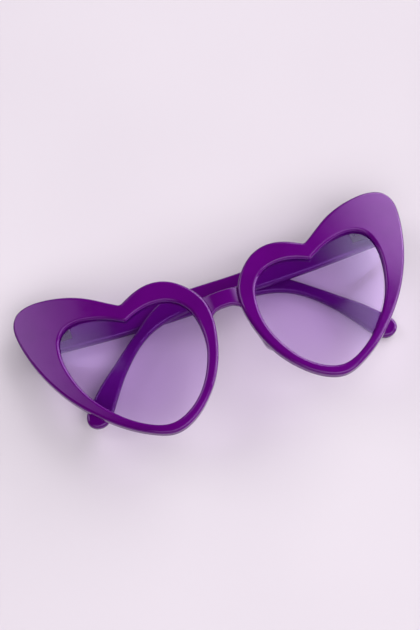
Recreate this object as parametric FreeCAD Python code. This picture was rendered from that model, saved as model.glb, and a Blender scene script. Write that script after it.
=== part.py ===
import FreeCAD, Part
import math
import os
from FreeCAD import Vector

os.makedirs("parts", exist_ok=True)

# Front: two heart rims on one bend, joined by a set-back bridge.
# X is the width, Y the brow side, and Z faces forward.
heart_width = 68.6
heart_height = 65.2
heart_centre_y = -0.2
bridge_gap = 10.8
front_bend_radius = 280.0
front_thickness = 4.2
rim_edge_radius = 1.1
cleft_radius = 1.6

# Widths of the rim round each lens opening, the opening's edges, its groove and the lens in it
wing_width = 13.5
nose_rim_width = 5.35
brow_width = 13.4
chin_width = 3.55
aperture_edge_radius = 0.95
aperture_cleft_radius = 1.2
lens_thickness = 1.6
lens_setback = 1.5
lens_engagement = 0.75
lens_clearance = 0.05

# Bridge
bridge_top_y = 11.1
bridge_arch_y = 5.0
bridge_foot_y = 1.6
bridge_foot_overlap = 2.4
bridge_bend_radius = 18.0
bridge_setback = 0.6
bridge_thickness = 3.1
bridge_back_radius = 60.0
bridge_edge_radius = 0.8

# Nose pads glued behind the rims
pad_height = 4.6
pad_foot_width = 3.0
pad_crest_width = 2.0
pad_crest_shift = 0.1
pad_crest_shorter = 2.4
pad_bury = 0.1
pad_edge_radius = 0.5

# Hinges, placed from the wing's outer edge and the brow
hinge_inset = 8.0
hinge_below_brow = 11.4
barrel_radius = 1.2
barrel_length = 2.0
barrel_count = 3
barrel_gap = 0.1
leaf_thickness = 0.9
leaf_lift = 1.5
front_leaf_length = 4.8
temple_leaf_length = 9.6
temple_leaf_start = 1.7
hinge_room = 0.35
pin_radius = 0.7
pin_running_clearance = 0.05
pin_seat_clearance = 0.02
pin_head_radius = 1.1
pin_head_height = 0.8
slot_width = 0.35
slot_depth = 0.35
leaf_screw_radius = 0.5
leaf_screw_length = 2.0
leaf_screw_head_radius = 0.95
leaf_screw_head_height = 0.4
leaf_screw_seat_clearance = 0.02
leaf_screw_edge = 1.5
leaf_pocket_clearance = 0.05

# End pieces behind the wings
endpiece_height = 12.0
endpiece_depth = 2.4
endpiece_corner_radius = 1.5
butt_gap = 0.3

# Temples
temple_length = 125.0
temple_root_height = 12.0
temple_root_thickness = 4.0
temple_tip_thickness = 3.2
temple_edge_radius = 1.2
temple_inner_offset = 1.0
temple_stack_gap = 0.35

# How far tool bodies reach past what they cut
overshoot = 5.0

# Outlines, from the cleft outward round the wing.
# Shares of half the width and half the height, from the centre.
heart_outline_shares = [
    (-0.137, 0.583), (0.006, 0.687), (0.190, 0.822), (0.394, 0.923), (0.606, 0.985), (0.781, 1.000),
    (0.918, 0.954), (0.988, 0.840), (0.995, 0.696), (0.962, 0.497), (0.895, 0.258), (0.793, 0.009),
    (0.636, -0.270), (0.434, -0.531), (0.207, -0.758), (-0.026, -0.920), (-0.254, -1.000), (-0.452, -0.942),
    (-0.662, -0.770), (-0.819, -0.558), (-0.918, -0.337), (-0.980, -0.092), (-1.000, 0.113), (-0.968, 0.313),
    (-0.837, 0.525), (-0.697, 0.644), (-0.536, 0.699), (-0.399, 0.693), (-0.268, 0.650),
]
aperture_outline_shares = [
    (-0.024, 0.723), (0.183, 0.850), (0.401, 0.949), (0.599, 0.998), (0.778, 0.990), (0.917, 0.899),
    (0.988, 0.723), (0.996, 0.497), (0.948, 0.222), (0.837, -0.090), (0.651, -0.398), (0.393, -0.694),
    (0.115, -0.903), (-0.171, -0.998), (-0.425, -0.924), (-0.687, -0.702), (-0.877, -0.390), (-0.988, -0.037),
    (-0.996, 0.271), (-0.925, 0.558), (-0.750, 0.756), (-0.512, 0.834), (-0.254, 0.813),
]

# Temple outline from the root's upper corner round the tip to its lower corner.
# Shares of the temple's length from the butt, and of the root height from the hinge's centre.
temple_outline_shares = [
    (0.000, 0.500), (0.112, 0.408), (0.256, 0.183), (0.384, 0.033), (0.496, -0.004), (0.600, 0.000),
    (0.678, -0.112), (0.732, -0.390), (0.781, -0.778), (0.835, -1.236), (0.881, -1.645), (0.927, -2.050),
    (0.970, -2.500), (0.996, -2.850), (0.998, -3.117), (0.979, -3.308), (0.952, -3.308), (0.927, -3.095),
    (0.907, -2.798), (0.885, -2.458), (0.860, -2.091), (0.831, -1.733), (0.794, -1.349), (0.748, -1.008),
    (0.695, -0.792), (0.632, -0.690), (0.528, -0.660), (0.384, -0.667), (0.240, -0.642), (0.112, -0.567),
    (0.000, -0.500),
]

# Right half of the arch under the bridge, from the middle.
# Shares of the bridge's half length and of the arch's rise.
bridge_arch_shares = [
    (0.000, 1.000), (0.280, 0.970), (0.487, 0.820), (0.654, 0.560), (0.782, 0.210), (0.885, 0.040),
    (1.000, 0.000),
]

# Nose pad's middle line, as shares of the heart's half sizes from its centre
pad_line_shares = [(-0.924, 0.020), (-0.916, -0.120), (-0.881, -0.280), (-0.809, -0.440)]

# Points along an outline and along one edge, by which edges of the two outlines are told apart
outline_samples = 240
edge_samples = 25

heart_centre_x = bridge_gap / 2 + heart_width / 2
aperture_width = heart_width - wing_width - nose_rim_width
aperture_height = heart_height - brow_width - chin_width
aperture_centre_x = bridge_gap / 2 + nose_rim_width + aperture_width / 2
aperture_centre_y = heart_centre_y + (chin_width - brow_width) / 2
hinge_half_spacing = bridge_gap / 2 + heart_width - hinge_inset
hinge_centre_y = heart_centre_y + heart_height / 2 - hinge_below_brow
hinge_sag = front_bend_radius - math.sqrt(front_bend_radius ** 2 - hinge_half_spacing ** 2)
hinge_drop = hinge_sag + front_thickness + endpiece_depth
fold_tilt = math.degrees(math.atan((temple_root_thickness + temple_stack_gap) / (2 * hinge_half_spacing)))
across = Vector(1, 0, 0)
upward = Vector(0, 1, 0)
forward = Vector(0, 0, 1)
origin = Vector(0, 0, 0)
hinge_length = barrel_count * barrel_length
pin_point = Vector(hinge_half_spacing, hinge_centre_y, -hinge_drop)


def outline_points(shares, centre_x, centre_y, width, height, grow):
    points = []
    for share_x, share_y in shares:
        points.append(Vector(centre_x + share_x * width / 2, centre_y + share_y * height / 2, 0))
    grown = []
    for index, point in enumerate(points):
        along = points[(index + 1) % len(points)] - points[index - 1]
        outward = Vector(-along.y, along.x, 0).normalize()
        grown.append(point + outward * grow)
    return grown


def heart_points():
    return outline_points(heart_outline_shares, heart_centre_x, heart_centre_y, heart_width, heart_height, 0)


def aperture_points(grow):
    return outline_points(
        aperture_outline_shares, aperture_centre_x, aperture_centre_y, aperture_width, aperture_height, grow
    )


def outline_curve(points, height):
    # One smooth curve through the points that starts and ends in the corner at the first of them
    curve = Part.BSplineCurve()
    curve.interpolate([Vector(point.x, point.y, height) for point in points + points[:1]])
    return curve


def closed_prism(points, low, high):
    # The outline's two halves meet in the corner and opposite it
    curve = outline_curve(points, low)
    middle = (curve.FirstParameter + curve.LastParameter) / 2
    halves = [curve.toShape(curve.FirstParameter, middle), curve.toShape(middle, curve.LastParameter)]
    return Part.Face(Part.Wire(halves)).extrude(forward * (high - low))


def corner_rounded(prism, corner, radius):
    edges = []
    for edge in prism.Edges:
        away = [math.hypot(vertex.X - corner.x, vertex.Y - corner.y) for vertex in edge.Vertexes]
        if len(away) == 2 and max(away) < radius / 10:
            edges.append(edge)
    return prism.makeFillet(radius, edges)


def bent_shell(outer_depth, inner_depth, bend_radius, apex_depth):
    # Layer between two depths below a bend about the Y direction
    foot = Vector(0, -heart_height, -bend_radius - apex_depth)
    outside = Part.makeCylinder(bend_radius - outer_depth, 2 * heart_height, foot, upward)
    inside = Part.makeCylinder(bend_radius - inner_depth, 2 * heart_height, foot, upward)
    return outside.cut(inside)


def mean_distance(samples, outline):
    nearest = [min(math.hypot(sample.x - p.x, sample.y - p.y) for p in outline) for sample in samples]
    return sum(nearest) / len(nearest)


def bend_edges(solid, depth, wanted_points, other_points):
    # Edges at one depth below the front's bend that follow the wanted outline more closely than the other
    radius = front_bend_radius - depth
    tolerance = rim_edge_radius / 50
    wanted = outline_curve(wanted_points, 0).discretize(outline_samples)
    other = outline_curve(other_points, 0).discretize(outline_samples)
    edges = []
    for edge in solid.Edges:
        samples = edge.discretize(edge_samples)
        on_bend = all(abs(math.hypot(p.x, p.z + front_bend_radius) - radius) < tolerance for p in samples)
        if on_bend and mean_distance(samples, wanted) < mean_distance(samples, other):
            edges.append(edge)
    return edges


def prism_reach():
    sag = front_bend_radius - math.sqrt(front_bend_radius ** 2 - (bridge_gap / 2 + heart_width) ** 2)
    return -sag - front_thickness - overshoot, overshoot


def rim_blank():
    low, high = prism_reach()
    outline = heart_points()
    opening = aperture_points(0)
    block = corner_rounded(closed_prism(outline, low, high), outline[0], cleft_radius)
    hole = corner_rounded(closed_prism(opening, low, high), opening[0], aperture_cleft_radius)
    rim = block.common(bent_shell(0, front_thickness, front_bend_radius, 0)).cut(hole)
    for depth in (0, front_thickness):
        rim = rim.makeFillet(rim_edge_radius, bend_edges(rim, depth, outline, opening))
    for depth in (0, front_thickness):
        rim = rim.makeFillet(aperture_edge_radius, bend_edges(rim, depth, opening, outline))
    return rim


def groove():
    low, high = prism_reach()
    wide = closed_prism(aperture_points(lens_engagement + lens_clearance), low, high)
    top = lens_setback - lens_clearance
    bottom = lens_setback + lens_thickness + lens_clearance
    return wide.common(bent_shell(top, bottom, front_bend_radius, 0))


def lens():
    low, high = prism_reach()
    blank = closed_prism(aperture_points(lens_engagement), low, high)
    return blank.common(bent_shell(lens_setback, lens_setback + lens_thickness, front_bend_radius, 0))


def bridge():
    half = bridge_gap / 2 + bridge_foot_overlap
    top_left = Vector(-half, bridge_top_y, -overshoot * 2)
    top_right = Vector(half, bridge_top_y, -overshoot * 2)
    rise = bridge_arch_y - bridge_foot_y
    points = []
    for share_x, share_y in bridge_arch_shares:
        points.append(Vector(share_x * half, bridge_foot_y + share_y * rise, -overshoot * 2))
    points = [Vector(-point.x, point.y, point.z) for point in points[:0:-1]] + points
    arch = Part.BSplineCurve()
    arch.interpolate(points)
    wire = Part.Wire([
        arch.toShape(),
        Part.makeLine(points[-1], top_right),
        Part.makeLine(top_right, top_left),
        Part.makeLine(top_left, points[0]),
    ])
    blank = Part.Face(wire).extrude(forward * overshoot * 4)
    face_axis = Vector(0, -heart_height, -bridge_setback - bridge_bend_radius)
    back_axis = Vector(0, -heart_height, -bridge_setback - bridge_thickness - bridge_back_radius)
    face = Part.makeCylinder(bridge_bend_radius, 2 * heart_height, face_axis, upward)
    back = Part.makeCylinder(bridge_back_radius, 2 * heart_height, back_axis, upward)
    bar = blank.common(face).cut(back).removeSplitter().Solids[0]
    # The long edges along the top and along the arch are rounded, front and back
    long_edges = [edge for edge in bar.Edges if edge.BoundBox.XLength > bridge_gap / 2]
    return bar.makeFillet(bridge_edge_radius, long_edges)


def endpiece():
    # A pad for the hinge plate and, outside it, the block that the open temple butts against
    low_y = hinge_centre_y - endpiece_height / 2
    inner_x = hinge_half_spacing - front_leaf_length - leaf_screw_edge
    step_x = hinge_half_spacing + temple_inner_offset
    outer_x = hinge_half_spacing + temple_inner_offset + temple_root_thickness
    pad_z = -hinge_drop + leaf_lift
    block_z = -hinge_drop + butt_gap / 2
    corners = [
        Vector(inner_x, low_y, 0), Vector(inner_x, low_y, pad_z), Vector(step_x, low_y, pad_z),
        Vector(step_x, low_y, block_z), Vector(outer_x, low_y, block_z), Vector(outer_x, low_y, 0),
    ]
    body = Part.Face(Part.makePolygon(corners + corners[:1])).extrude(upward * endpiece_height)
    uprights = []
    for edge in body.Edges:
        centre = edge.BoundBox
        at_side = abs(centre.XMax - inner_x) < butt_gap or abs(centre.XMin - outer_x) < butt_gap
        if centre.ZLength > leaf_lift and centre.XLength < butt_gap and at_side:
            uprights.append(edge)
    body = body.makeFillet(endpiece_corner_radius, uprights)
    # It grows out of the front's back face only
    middle = bent_shell(front_thickness / 2, front_bend_radius / 2, front_bend_radius, 0)
    return body.common(middle)


def pin_cylinder(radius, low_y, high_y):
    foot = Vector(hinge_half_spacing, low_y, -hinge_drop)
    return Part.makeCylinder(radius, high_y - low_y, foot, upward)


def hinge_room_cut():
    half = hinge_length / 2 + pin_head_height + hinge_room
    return pin_cylinder(barrel_radius + hinge_room, hinge_centre_y - half, hinge_centre_y + half)


def box_between(low, high):
    size = high - low
    return Part.makeBox(size.x, size.y, size.z, low)


def front_leaf_box(clearance):
    low = Vector(
        hinge_half_spacing - barrel_radius - front_leaf_length - clearance,
        hinge_centre_y - hinge_length / 2 - clearance,
        -hinge_drop + leaf_lift,
    )
    high = Vector(
        hinge_half_spacing + barrel_radius + clearance,
        hinge_centre_y + hinge_length / 2 + clearance,
        -hinge_drop + leaf_lift + leaf_thickness + clearance,
    )
    return box_between(low, high)


def front_leaf_screw_places():
    x = hinge_half_spacing - barrel_radius - front_leaf_length + leaf_screw_edge
    spread = hinge_length / 2 - leaf_screw_edge
    return [Vector(x, hinge_centre_y + side * spread, -hinge_drop + leaf_lift) for side in (-1, 1)]


def temple_leaf_screw_places():
    far = hinge_half_spacing - temple_leaf_start - temple_leaf_length + leaf_screw_edge
    near = hinge_half_spacing - temple_leaf_start - leaf_screw_edge
    return [Vector(x, hinge_centre_y, -hinge_drop - temple_inner_offset) for x in (far, near)]


def leaf_screw(place, direction):
    shank = Part.makeCylinder(leaf_screw_radius, leaf_screw_length, place, direction)
    head_foot = place - direction * leaf_screw_head_height
    head = Part.makeCylinder(leaf_screw_head_radius, leaf_screw_head_height, head_foot, direction)
    half = leaf_screw_head_radius
    slot = Part.makeBox(2 * half, slot_width, slot_depth / 2)
    slot.translate(Vector(place.x - half, place.y - slot_width / 2, head_foot.z))
    if direction.z < 0:
        slot.translate(forward * (-slot_depth / 2))
    return head.fuse(shank).removeSplitter().cut(slot)


def leaf_screw_hole(place, direction):
    radius = leaf_screw_radius + leaf_screw_seat_clearance
    return Part.makeCylinder(radius, leaf_screw_length + leaf_screw_seat_clearance, place, direction)


def front_leaf():
    plate = front_leaf_box(0)
    leaf = plate
    half = hinge_length / 2
    # The webs down to the barrels stop short of the block that the open temple butts against
    web_end = hinge_half_spacing + temple_inner_offset - hinge_room
    for low_y in (hinge_centre_y - half, hinge_centre_y + half - barrel_length):
        web = box_between(
            Vector(hinge_half_spacing - barrel_radius, low_y, -hinge_drop),
            Vector(web_end, low_y + barrel_length, -hinge_drop + leaf_lift),
        )
        leaf = leaf.fuse(web).fuse(pin_cylinder(barrel_radius, low_y, low_y + barrel_length))
    bore = pin_cylinder(pin_radius + pin_seat_clearance, hinge_centre_y - half, hinge_centre_y + half)
    leaf = leaf.cut(bore).removeSplitter()
    for place in front_leaf_screw_places():
        leaf = leaf.cut(leaf_screw_hole(place, forward))
    return leaf


def temple_leaf_box(clearance):
    low = Vector(
        hinge_half_spacing - temple_leaf_start - temple_leaf_length - clearance,
        hinge_centre_y - hinge_length / 2 - clearance,
        -hinge_drop - temple_inner_offset - leaf_thickness - clearance,
    )
    high = Vector(
        hinge_half_spacing - temple_leaf_start + clearance,
        hinge_centre_y + hinge_length / 2 + clearance,
        -hinge_drop - temple_inner_offset,
    )
    return box_between(low, high)


def temple_leaf_web(clearance):
    half = barrel_length / 2 - barrel_gap + clearance
    deep = temple_inner_offset + leaf_thickness + clearance
    return box_between(
        Vector(hinge_half_spacing - temple_leaf_start, hinge_centre_y - half, -hinge_drop - deep),
        Vector(hinge_half_spacing, hinge_centre_y + half, -hinge_drop),
    )


def temple_leaf():
    half = barrel_length / 2 - barrel_gap
    barrel = pin_cylinder(barrel_radius, hinge_centre_y - half, hinge_centre_y + half)
    leaf = temple_leaf_box(0).fuse(temple_leaf_web(0)).fuse(barrel).removeSplitter()
    bore = pin_cylinder(pin_radius + pin_running_clearance, hinge_centre_y - half, hinge_centre_y + half)
    leaf = leaf.cut(bore)
    for place in temple_leaf_screw_places():
        leaf = leaf.cut(leaf_screw_hole(place, -forward))
    return leaf


def hinge_screw():
    half = hinge_length / 2
    shank = pin_cylinder(pin_radius, hinge_centre_y - half, hinge_centre_y + half)
    head = pin_cylinder(pin_head_radius, hinge_centre_y + half, hinge_centre_y + half + pin_head_height)
    head_middle = hinge_centre_y + half + pin_head_height / 2
    rim_edges = [edge for edge in head.Edges if edge.BoundBox.YMin > head_middle]
    head = head.makeFillet(slot_depth / 2, rim_edges)
    slot_low = Vector(
        hinge_half_spacing - pin_head_radius,
        hinge_centre_y + half + pin_head_height - slot_depth,
        -hinge_drop - slot_width / 2,
    )
    slot = Part.makeBox(2 * pin_head_radius, slot_depth, slot_width, slot_low)
    return shank.fuse(head).removeSplitter().cut(slot)


def nose_pad_section(width, shift, shorter, depth):
    line = []
    for share_x, share_y in pad_line_shares:
        x = heart_centre_x + share_x * heart_width / 2
        y = heart_centre_y + share_y * heart_height / 2
        line.append(Vector(x + shift, y, -depth))
    line[0] = line[0] - upward * shorter / 2
    line[-1] = line[-1] + (line[-2] - line[-1]).normalize() * shorter / 2
    sides = [[], []]
    for index, point in enumerate(line):
        before = line[max(index - 1, 0)]
        after = line[min(index + 1, len(line) - 1)]
        run = (after - before).normalize()
        normal = Vector(-run.y, run.x, 0)
        sides[0].append(point + normal * width / 2)
        sides[1].append(point - normal * width / 2)
    start_run = (line[0] - line[1]).normalize()
    end_run = (line[-1] - line[-2]).normalize()
    round_end = [line[-1] + end_run * width / 2]
    round_start = [line[0] + start_run * width / 2]
    loop = sides[0] + round_end + sides[1][::-1] + round_start
    curve = Part.BSplineCurve()
    curve.interpolate(loop, PeriodicFlag=True)
    return Part.Wire(curve.toShape())


def nose_pad():
    foot = nose_pad_section(pad_foot_width, 0, 0, front_thickness - pad_bury)
    crest_depth = front_thickness + pad_height
    crest = nose_pad_section(pad_crest_width, pad_crest_shift, pad_crest_shorter, crest_depth)
    pad = Part.makeLoft([foot, crest], True)
    crest_edges = [edge for edge in pad.Edges if edge.BoundBox.ZMax < -front_thickness - pad_height / 2]
    pad = pad.makeFillet(pad_edge_radius, crest_edges)
    # It sits on the rim's back face, which the bend carries a little lower away from the middle
    below_back = bent_shell(front_thickness, front_bend_radius / 2, front_bend_radius, 0)
    return pad.common(below_back)


def temple_blank():
    butt_x = hinge_half_spacing - butt_gap / 2
    inner_z = -hinge_drop - temple_inner_offset
    outer_z = inner_z - temple_root_thickness
    points = []
    for share_s, share_t in temple_outline_shares:
        x = butt_x - share_s * temple_length
        points.append(Vector(x, hinge_centre_y + share_t * temple_root_height, outer_z))
    curve = Part.BSplineCurve()
    curve.interpolate(points)
    wire = Part.Wire([curve.toShape(), Part.makeLine(points[-1], points[0])])
    slab = Part.Face(wire).extrude(forward * temple_root_thickness)
    # The inner face runs down toward the tip, so the temple gets thinner
    low_y = hinge_centre_y - heart_height
    tip_x = butt_x - temple_length
    tip_z = outer_z + temple_tip_thickness
    wedge_corners = [
        Vector(butt_x - temple_root_height, low_y, inner_z), Vector(tip_x, low_y, tip_z),
        Vector(tip_x - overshoot, low_y, tip_z), Vector(tip_x - overshoot, low_y, inner_z + overshoot),
        Vector(butt_x - temple_root_height, low_y, inner_z + overshoot),
    ]
    wedge = Part.Face(Part.makePolygon(wedge_corners + wedge_corners[:1])).extrude(upward * 2 * heart_height)
    slab = slab.cut(wedge)
    return round_temple_edges(slab, butt_x)


def round_temple_edges(slab, butt_x):
    edges = []
    for edge in slab.Edges:
        box = edge.BoundBox
        upright = box.ZLength > temple_tip_thickness / 2 and box.YLength < butt_gap
        at_butt = box.XMin > butt_x - butt_gap
        cross_line = box.XLength < butt_gap
        if not upright and not at_butt and not cross_line:
            edges.append(edge)
    return slab.makeFillet(temple_edge_radius, edges)


def temple():
    bar = temple_blank()
    bar = bar.cut(temple_leaf_box(leaf_pocket_clearance)).cut(temple_leaf_web(hinge_room))
    bar = bar.cut(hinge_room_cut())
    for place in temple_leaf_screw_places():
        bar = bar.cut(leaf_screw_hole(place, -forward))
    return bar


def mirrored(shape):
    return shape.mirror(origin, across)


def front():
    half = rim_blank().fuse(endpiece()).cut(groove())
    half = half.cut(front_leaf_box(leaf_pocket_clearance)).cut(hinge_room_cut())
    for place in front_leaf_screw_places():
        half = half.cut(leaf_screw_hole(place, forward))
    return half.fuse(mirrored(half)).fuse(bridge()).removeSplitter()


def folded(shape, side):
    # The right temple lies between the front and the left one; both lean the same way, so they lie parallel
    turned = shape.copy()
    turned.rotate(pin_point, upward, fold_tilt * side)
    return turned


def assembly():
    # Pieces of the right side, and how each side gets its own
    front_screws = [leaf_screw(place, forward) for place in front_leaf_screw_places()]
    fixed = {
        "lens": lens(),
        "nose_pad": nose_pad(),
        "hinge_front_leaf": front_leaf(),
        "hinge_screw": hinge_screw(),
        "front_leaf_screws": Part.makeCompound(front_screws),
    }
    temple_screws = [leaf_screw(place, -forward) for place in temple_leaf_screw_places()]
    swinging = {
        "temple": temple(),
        "hinge_temple_leaf": temple_leaf(),
        "temple_leaf_screws": Part.makeCompound(temple_screws),
    }
    pieces = {"front_frame": front()}
    for name, shape in fixed.items():
        pieces[name + "_right"] = shape
        pieces[name + "_left"] = mirrored(shape)
    for name, shape in swinging.items():
        pieces[name + "_right"] = folded(shape, 1)
        pieces[name + "_left"] = mirrored(folded(shape, -1))
    return pieces


def laid_down(pieces):
    # The left temple's outer face goes flat on the ground, with the ground at zero and the box centred
    everything = Part.makeCompound(list(pieces.values()))
    everything.rotate(origin, upward, -fold_tilt)
    box = everything.optimalBoundingBox(False)
    shift = Vector(-(box.XMin + box.XMax) / 2, -(box.YMin + box.YMax) / 2, -box.ZMin)
    laid = {}
    for name, shape in pieces.items():
        moved = shape.copy()
        moved.rotate(origin, upward, -fold_tilt)
        moved.translate(shift)
        laid[name] = moved
    return laid, shift


laid_pieces, laid_shift = laid_down(assembly())
for node_name, node_shape in laid_pieces.items():
    node_shape.exportStep("parts/" + node_name + ".step")

turn = FreeCAD.Rotation(upward, -fold_tilt)
print("fold tilt", round(fold_tilt, 4))
print("shift", laid_shift)
print("right hinge", turn.multVec(pin_point) + laid_shift)
print("left hinge", turn.multVec(Vector(-pin_point.x, pin_point.y, pin_point.z)) + laid_shift)
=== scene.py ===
import math
import bpy
import numpy as np
from mathutils import Matrix, Vector


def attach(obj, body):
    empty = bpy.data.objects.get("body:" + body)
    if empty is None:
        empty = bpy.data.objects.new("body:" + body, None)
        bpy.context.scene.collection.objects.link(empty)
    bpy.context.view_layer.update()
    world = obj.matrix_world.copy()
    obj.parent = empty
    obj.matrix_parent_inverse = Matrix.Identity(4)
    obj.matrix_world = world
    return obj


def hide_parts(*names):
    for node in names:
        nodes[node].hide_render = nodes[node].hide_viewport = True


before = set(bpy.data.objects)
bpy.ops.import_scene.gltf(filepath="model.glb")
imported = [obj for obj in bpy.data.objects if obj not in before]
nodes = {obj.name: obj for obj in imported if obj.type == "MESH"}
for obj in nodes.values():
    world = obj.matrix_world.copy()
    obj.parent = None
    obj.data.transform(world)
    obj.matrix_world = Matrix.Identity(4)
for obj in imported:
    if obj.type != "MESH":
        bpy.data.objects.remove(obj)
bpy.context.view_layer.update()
mm = 0.001
print("frame loaded, nodes:", len(nodes))


# node helpers
def newMaterial(name):
    mat = bpy.data.materials.new(name)
    mat.use_nodes = True
    tree = mat.node_tree
    tree.nodes.clear()
    out = tree.nodes.new("ShaderNodeOutputMaterial")
    return mat, tree, out


def addNode(tree, kind, **sockets):
    # a socket's name is written with _ for each space
    node = tree.nodes.new(kind)
    for socketName, value in sockets.items():
        node.inputs[socketName.replace("_", " ")].default_value = value
    return node


def noiseField(tree, perMetre, detail, roughness):
    # noise on Object coordinates, which are the row frame in metres, so it has that many cells per metre
    coords = tree.nodes.new("ShaderNodeTexCoord")
    mapping = addNode(tree, "ShaderNodeMapping", Scale=(perMetre, perMetre, perMetre))
    tree.links.new(coords.outputs["Object"], mapping.inputs["Vector"])
    noise = addNode(tree, "ShaderNodeTexNoise", Scale=1.0, Detail=detail, Roughness=roughness)
    tree.links.new(mapping.outputs["Vector"], noise.inputs["Vector"])
    return noise.outputs["Fac"]


toneSpan = (0.3, 0.7)  # most of a noise field lies between these, so its tones change there


def twoTones(tree, field, low, high):
    node = tree.nodes.new("ShaderNodeValToRGB")
    for stop, place, colour in zip(node.color_ramp.elements, toneSpan, (low, high)):
        stop.position, stop.color = place, colour
    tree.links.new(field, node.inputs["Fac"])
    return node.outputs["Color"]


def spreadOver(tree, field, low, high, span=(0.0, 1.0)):
    # carries the field's span over to the range from low to high
    node = addNode(tree, "ShaderNodeMapRange", To_Min=low, To_Max=high)
    node.inputs["From Min"].default_value, node.inputs["From Max"].default_value = span
    tree.links.new(field, node.inputs["Value"])
    return node


# polished purple plastic of the front, the temples and the pads
purple = {
    "deep": (0.086, 0.0008, 0.137, 1), "body": (0.106, 0.0012, 0.166, 1), "shine": (0.78, 0.50, 1.0, 1),
    "clouds": (60.0, 3.0, 0.55), "rub": (300.0, 4.0, 0.6), "peel": (700.0, 2.0, 0.5),  # noiseField's values
    "rubSpan": (0.35, 0.75), "smooth": 0.09, "rubbed": 0.15, "peelHeight": 0.00001, "peelStrength": 0.2,
    "ior": 1.5, "specular": 0.55,
}


def purplePlastic(name, look):
    # soft clouds of two purples, a gloss rubbed duller in places, and the faint peel of a moulded skin
    mat, tree, out = newMaterial(name)
    shade = addNode(tree, "ShaderNodeBsdfPrincipled", IOR=look["ior"],
                    Specular_IOR_Level=look["specular"], Specular_Tint=look["shine"])
    clouds = noiseField(tree, *look["clouds"])
    tree.links.new(twoTones(tree, clouds, look["deep"], look["body"]), shade.inputs["Base Color"])
    rub = noiseField(tree, *look["rub"])
    gloss = spreadOver(tree, rub, look["smooth"], look["rubbed"], look["rubSpan"])
    tree.links.new(gloss.outputs["Result"], shade.inputs["Roughness"])
    peel = addNode(tree, "ShaderNodeBump", Strength=look["peelStrength"], Distance=look["peelHeight"])
    tree.links.new(noiseField(tree, *look["peel"]), peel.inputs["Height"])
    tree.links.new(peel.outputs["Normal"], shade.inputs["Normal"])
    tree.links.new(shade.outputs["BSDF"], out.inputs["Surface"])
    return mat


# tinted lens: a see-through film on each face, with a clear gloss outside
tint = {
    "face": (0.935, 0.848, 1.0, 1), "faceDeep": (0.927, 0.836, 1.0, 1), "clouds": (40.0, 2.0, 0.5),
    "gloss": 1.56, "shine": (0.70, 0.58, 1.0, 1), "smooth": 0.12,
}


def tintedLens(name, look):
    # film and gloss mixed by Fresnel, without a second mirror image from within the lens
    mat, tree, out = newMaterial(name)
    see = tree.nodes.new("ShaderNodeBsdfTransparent")
    clouds = noiseField(tree, *look["clouds"])
    tree.links.new(twoTones(tree, clouds, look["faceDeep"], look["face"]), see.inputs["Color"])
    shine = addNode(tree, "ShaderNodeBsdfGlossy", Color=look["shine"], Roughness=look["smooth"])
    share = addNode(tree, "ShaderNodeFresnel", IOR=look["gloss"])
    facing = tree.nodes.new("ShaderNodeNewGeometry")
    outside = tree.nodes.new("ShaderNodeMath")
    outside.operation = "SUBTRACT"
    outside.inputs[0].default_value = 1.0
    tree.links.new(facing.outputs["Backfacing"], outside.inputs[1])
    amount = tree.nodes.new("ShaderNodeMath")
    amount.operation = "MULTIPLY"
    tree.links.new(share.outputs["Fac"], amount.inputs[0])
    tree.links.new(outside.outputs["Value"], amount.inputs[1])
    mix = tree.nodes.new("ShaderNodeMixShader")
    tree.links.new(amount.outputs["Value"], mix.inputs["Fac"])
    tree.links.new(see.outputs["BSDF"], mix.inputs[1])
    tree.links.new(shine.outputs["BSDF"], mix.inputs[2])
    tree.links.new(mix.outputs["Shader"], out.inputs["Surface"])
    return mat


# nickel plated brass of the hinges and screws
plated = {
    "low": (0.34, 0.32, 0.34, 1), "high": (0.50, 0.47, 0.50, 1), "grain": (2500.0, 3.0, 0.6),
    "hingeDull": 0.25, "screwDull": 0.2, "dullSpread": 0.15,
}


def platedMetal(name, look, dull):
    # one fine grain sets both the tone and how dull the metal is
    mat, tree, out = newMaterial(name)
    shade = addNode(tree, "ShaderNodeBsdfPrincipled", Metallic=1.0)
    grain = noiseField(tree, *look["grain"])
    tree.links.new(twoTones(tree, grain, look["low"], look["high"]), shade.inputs["Base Color"])
    gloss = spreadOver(tree, grain, dull, dull + look["dullSpread"])
    tree.links.new(gloss.outputs["Result"], shade.inputs["Roughness"])
    tree.links.new(shade.outputs["BSDF"], out.inputs["Surface"])
    return mat


finishes = {
    "front_frame": purplePlastic("purple front", purple),
    "temple": purplePlastic("purple temple", purple),
    "nose_pad": purplePlastic("purple pad", purple),
    "lens": tintedLens("violet lens", tint),
    "hinge": platedMetal("plated hinge", plated, plated["hingeDull"]),
    "screw": platedMetal("plated screw", plated, plated["screwDull"]),
}


def finishFor(nodeName):
    # screws first, because their names start as the hinge's and the temple's do
    if "screw" in nodeName:
        return finishes["screw"]
    return next(mat for key, mat in finishes.items() if nodeName.startswith(key))


for nodeName, obj in nodes.items():
    for slot in obj.material_slots:
        slot.material = finishFor(nodeName)
print("finishes on", len(nodes), "nodes")

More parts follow.
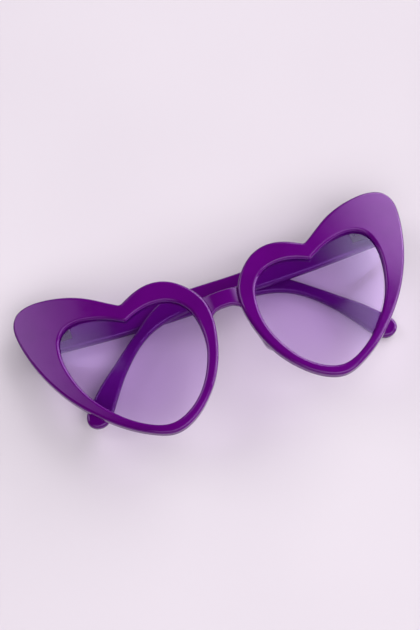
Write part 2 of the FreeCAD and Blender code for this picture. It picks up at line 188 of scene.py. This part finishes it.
# lenses, each a shell that the front's bend carries and that swells a little inside its opening; in mm
lensLook = {
    "width": 49.75, "height": 48.25, "centreX": 35.625, "centreY": -5.125,
    "setback": 1.5, "thick": 1.6, "inGroove": 0.6, "bend": 280.0, "swell": 2.0, "swellTerms": 4,
    "around": 288, "rings": 40, "ringCrowd": 1.3,
    "outline": [  # shares of half the width and half the height, from the cleft outward round the wing
        (-0.024, 0.723), (0.183, 0.850), (0.401, 0.949), (0.599, 0.998), (0.778, 0.990), (0.917, 0.899),
        (0.988, 0.723), (0.996, 0.497), (0.948, 0.222), (0.837, -0.090), (0.651, -0.398), (0.393, -0.694),
        (0.115, -0.903), (-0.171, -0.998), (-0.425, -0.924), (-0.687, -0.702), (-0.877, -0.390),
        (-0.988, -0.037), (-0.996, 0.271), (-0.925, 0.558), (-0.750, 0.756), (-0.512, 0.834), (-0.254, 0.813),
    ],
}
# how the front leans on its folded temples, in degrees and mm
lying = {"tilt": 1.8875, "shift": (-0.38912, 0.18005, 21.65569)}


def splineThrough(points, count):
    # cubic spline through the points by chord length, with free ends, sampled at even chord steps
    p = np.asarray(points, float)
    knots = np.concatenate([[0], np.cumsum(np.linalg.norm(np.diff(p, axis=0), axis=1))])
    gaps = np.diff(knots)
    n = len(p)
    system = np.eye(n)
    k = np.arange(1, n - 1)
    system[k, k - 1] = gaps[:-1]
    system[k, k] = 2 * (gaps[:-1] + gaps[1:])
    system[k, k + 1] = gaps[1:]
    change = np.zeros_like(p)
    change[1:-1] = 6 * np.diff(np.diff(p, axis=0) / gaps[:, None], axis=0)
    curl = np.linalg.solve(system, change)  # second derivatives at the points
    at = np.linspace(0, knots[-1], count)
    i = np.clip(np.searchsorted(knots, at) - 1, 0, n - 2)
    a = ((knots[i + 1] - at) / gaps[i])[:, None]
    b = 1 - a
    bow = (a ** 3 - a) * curl[i] + (b ** 3 - b) * curl[i + 1]
    return a * p[i] + b * p[i + 1] + bow * (gaps[i] ** 2 / 6)[:, None]


def membrane(outline, centre, termCount):
    # film blown up over the outline, 1 high at the centre:
    # a paraboloid plus harmonic polynomials that nearly cancel it along the outline
    size = np.abs(outline - centre).max()
    powers = np.arange(termCount)

    def terms(points):
        z = ((points - centre) @ np.array([1, 1j])) / size
        zk = z[:, None] ** powers
        return np.concatenate([zk.real, zk.imag[:, 1:]], 1), -np.abs(z) ** 2

    basis, bowl = terms(outline)
    weights = np.linalg.lstsq(basis, -bowl, rcond=None)[0]

    def height(points):
        basisHere, bowlHere = terms(points)
        return (basisHere @ weights + bowlHere) / weights[0]

    return height


def layDown(points):
    # from the front's own frame in mm to the row frame in metres: a turn about y, then a shift
    t = math.radians(-lying["tilt"])
    x, y, z = points.T
    turned = np.stack([math.cos(t) * x + math.sin(t) * z, y, -math.sin(t) * x + math.cos(t) * z], 1)
    return (turned + np.array(lying["shift"])) * mm


def meshObject(name, points, faces, material):
    mesh = bpy.data.meshes.new(name)
    mesh.from_pydata(points.tolist(), [], faces)
    mesh.polygons.foreach_set("use_smooth", np.ones(len(mesh.polygons), bool))
    mesh.materials.append(material)
    mesh.update()
    obj = bpy.data.objects.new(name, mesh)
    bpy.context.scene.collection.objects.link(obj)
    return obj


def makeLens(name, look, side, material):
    # rings of the outline shrink to the centre, and one more goes out into the groove
    # z is the bend's circle plus the swell on both faces, so the wall stays even; side is -1 or 1
    centre = np.array([look["centreX"], look["centreY"]])
    half = np.array([look["width"], look["height"]]) / 2
    loop = np.array(look["outline"] + look["outline"][:1]) * half + centre
    ring = splineThrough(loop, look["around"] + 1)[:-1]
    along = np.roll(ring, -1, 0) - np.roll(ring, 1, 0)
    outward = np.stack([-along[:, 1], along[:, 0]], 1) / np.linalg.norm(along, axis=1)[:, None]
    v = np.linspace(0, 1, look["rings"] + 1)[1:]
    v = 1 - (1 - v) ** look["ringCrowd"]  # rings a little closer near the edge
    inner = centre + v[:, None, None] * (ring - centre)
    plan = np.concatenate([inner, (ring + outward * look["inGroove"])[None]])  # rings, points, xy
    flat = np.concatenate([centre[None], plan.reshape(-1, 2)])
    rise = membrane(ring, centre, look["swellTerms"])(flat) * look["swell"]
    bend = np.sqrt(look["bend"] ** 2 - flat[:, 0] ** 2) - look["bend"]
    front = np.column_stack([flat[:, 0] * side, flat[:, 1], bend - look["setback"] + rise])
    back = front - np.array([0, 0, look["thick"]])
    n, count = look["around"], len(flat)
    j = np.arange(n)
    nxt = (j + 1) % n
    fan = np.stack([np.zeros(n, int), 1 + j, 1 + nxt], 1)
    starts = 1 + np.arange(len(plan) - 1)[:, None] * n
    quads = np.stack([starts + j, starts + n + j, starts + n + nxt, starts + nxt], -1).reshape(-1, 4)
    last = 1 + (len(plan) - 1) * n
    wall = np.stack([last + j, last + count + j, last + count + nxt, last + nxt], 1)
    blocks = [fan[:, ::-1], quads[:, ::-1], wall[:, ::-1], fan + count, quads + count]
    if side < 0:
        blocks = [f[:, ::-1] for f in blocks]
    faces = [f.tolist() for block in blocks for f in block]
    return meshObject(name, layDown(np.concatenate([front, back])), faces, material)


for sideName, sideSign in (("left", -1), ("right", 1)):
    lensPiece = makeLens("tinted_lens_" + sideName, lensLook, sideSign, finishes["lens"])
    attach(lensPiece, "front")
    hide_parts("lens_" + sideName)
print("lenses swelled")

# pale plain floor, wide enough that no view meets its edge; in metres
floorLook = {
    "half": 15.0, "lines": 9, "drop": 0.00005,
    "low": (0.66, 0.594, 0.662, 1), "high": (0.70, 0.634, 0.702, 1), "clouds": (6.0, 2.0, 0.5),
    "dull": 0.8, "specular": 0.1,
}


def floorPaint(name, look):
    mat, tree, out = newMaterial(name)
    shade = addNode(tree, "ShaderNodeBsdfPrincipled", Roughness=look["dull"],
                    Specular_IOR_Level=look["specular"])
    clouds = noiseField(tree, *look["clouds"])
    tree.links.new(twoTones(tree, clouds, look["low"], look["high"]), shade.inputs["Base Color"])
    tree.links.new(shade.outputs["BSDF"], out.inputs["Surface"])
    return mat


def makeFloor(look):
    # flat grid at one height, a little under the ground plane
    n = look["lines"]
    u = np.linspace(-look["half"], look["half"], n)
    gx, gy = np.meshgrid(u, u)
    points = np.stack([gx, gy, np.full_like(gx, -look["drop"])], -1).reshape(-1, 3)
    corner = (np.arange(n - 1)[:, None] * n + np.arange(n - 1)).ravel()
    quads = np.stack([corner, corner + 1, corner + n + 1, corner + n], 1)
    meshObject("floor", points, quads.tolist(), floorPaint("pale floor", look))


makeFloor(floorLook)

# soft boxes under a dark ceiling, so far off that they light the floor evenly; in metres
# left and right show on the wings, and the gap between them keeps the nose and the brows dark
# low right shows in the right lens, and side and near draw light lines along the rims
boxAway = 12.0
softBoxes = {
    "left": {
        "inner": (-0.28, 0.575, 0.77), "outer": (-0.76, 0.53, 0.38), "tall": 7.0,
        "glow": 3.1, "start": 0.25, "full": 0.42,
    },
    "right": {
        "inner": (0.35, 0.62, 0.70), "outer": (0.90, 0.44, 0.15), "tall": 7.4,
        "glow": 5.3, "start": 0.03, "full": 0.42,
    },
    "low right": {
        "inner": (0.42, 0.07, 0.90), "outer": (0.90, 0.07, 0.44), "tall": 4.6,
        "glow": 3.2, "start": 0.2, "full": 0.5,
    },
    "side": {
        "inner": (0.90, 0.30, 0.24), "outer": (0.90, -0.36, 0.24), "tall": 2.5,
        "glow": 9.0, "start": 1.0, "full": 1.0,
    },
    "near": {
        "inner": (-0.75, -0.62, 0.68), "outer": (0.92, -0.60, 0.70), "tall": 6.4,
        "glow": 3.3, "start": 0.55, "full": 0.95,
    },
}


def addSoftBox(name, look):
    # a rectangle from the inner to the outer direction, which faces the object
    # its glow grows from the share start at the inner edge to all of it at the share full of its width
    inner = Vector(look["inner"]).normalized() * boxAway
    outer = Vector(look["outer"]).normalized() * boxAway
    middle = (inner + outer) / 2
    across = (outer - inner).normalized()
    facing = (middle - across * middle.dot(across)).normalized()
    lamp = bpy.data.lights.new("soft box " + name, "AREA")
    lamp.shape = "RECTANGLE"
    lamp.size, lamp.size_y = (outer - inner).length, look["tall"]
    lamp.energy = look["glow"] * math.pi * lamp.size * lamp.size_y  # so that glow is its brightness
    if look["start"] < 1:
        lamp.use_nodes = True
        tree = lamp.node_tree
        place = tree.nodes.new("ShaderNodeNewGeometry")
        part = tree.nodes.new("ShaderNodeSeparateXYZ")
        tree.links.new(place.outputs["Parametric"], part.inputs["Vector"])
        level = spreadOver(tree, part.outputs["X"], look["start"], 1.0, (0.0, look["full"]))
        level.interpolation_type = "SMOOTHSTEP"
        tree.links.new(level.outputs["Result"], tree.nodes["Emission"].inputs["Strength"])
    obj = bpy.data.objects.new("soft box " + name, lamp)
    turn = Matrix((across, facing.cross(across), facing)).transposed().to_4x4()
    obj.matrix_world = Matrix.Translation(middle) @ turn
    bpy.context.scene.collection.objects.link(obj)


for boxName, boxLook in softBoxes.items():
    addSoftBox(boxName, boxLook)

# dim room: it lights the floor from all sides and is darker still in mirror images
roomLook = {"colour": (0.96, 0.93, 1.0, 1), "lit": 0.06, "mirrored": 0.03}


def makeRoom(look):
    world = bpy.data.worlds.new("dim room")
    bpy.context.scene.world = world
    world.use_nodes = True
    tree = world.node_tree
    shade = tree.nodes["Background"]
    shade.inputs["Color"].default_value = look["colour"]
    path = tree.nodes.new("ShaderNodeLightPath")
    level = spreadOver(tree, path.outputs["Is Glossy Ray"], look["lit"], look["mirrored"])
    tree.links.new(level.outputs["Result"], shade.inputs["Strength"])


makeRoom(roomLook)

# camera: upright, looking down on the folded sunglasses; degrees, mm and pixels of the frame's long side
cameraLook = {
    "azimuth": -19.40, "elevation": 67.43, "aim": (-5.424, 6.963, 12.0), "away": 500.0,
    "focalPixels": 1389.5, "framePixels": 630, "sensor": 36.0, "nearest": 10.0,
}


def makeCamera(look):
    a = math.radians(look["azimuth"])
    e = math.radians(look["elevation"])
    back = Vector((math.sin(a) * math.cos(e), -math.cos(a) * math.cos(e), math.sin(e)))
    right = Vector((math.cos(a), math.sin(a), 0))
    up = back.cross(right)
    place = (Vector(look["aim"]) + back * look["away"]) * mm
    data = bpy.data.cameras.new("camera")
    data.sensor_width = look["sensor"]
    data.lens = look["focalPixels"] / look["framePixels"] * look["sensor"]
    data.clip_start = look["nearest"] * mm
    obj = bpy.data.objects.new("camera", data)
    turn = Matrix((right, up, back)).transposed().to_4x4()
    obj.matrix_world = Matrix.Translation(place) @ turn
    bpy.context.scene.collection.objects.link(obj)
    bpy.context.scene.camera = obj


makeCamera(cameraLook)
bpy.context.scene.view_settings.view_transform = "Standard"
print("stage, lights and camera set")
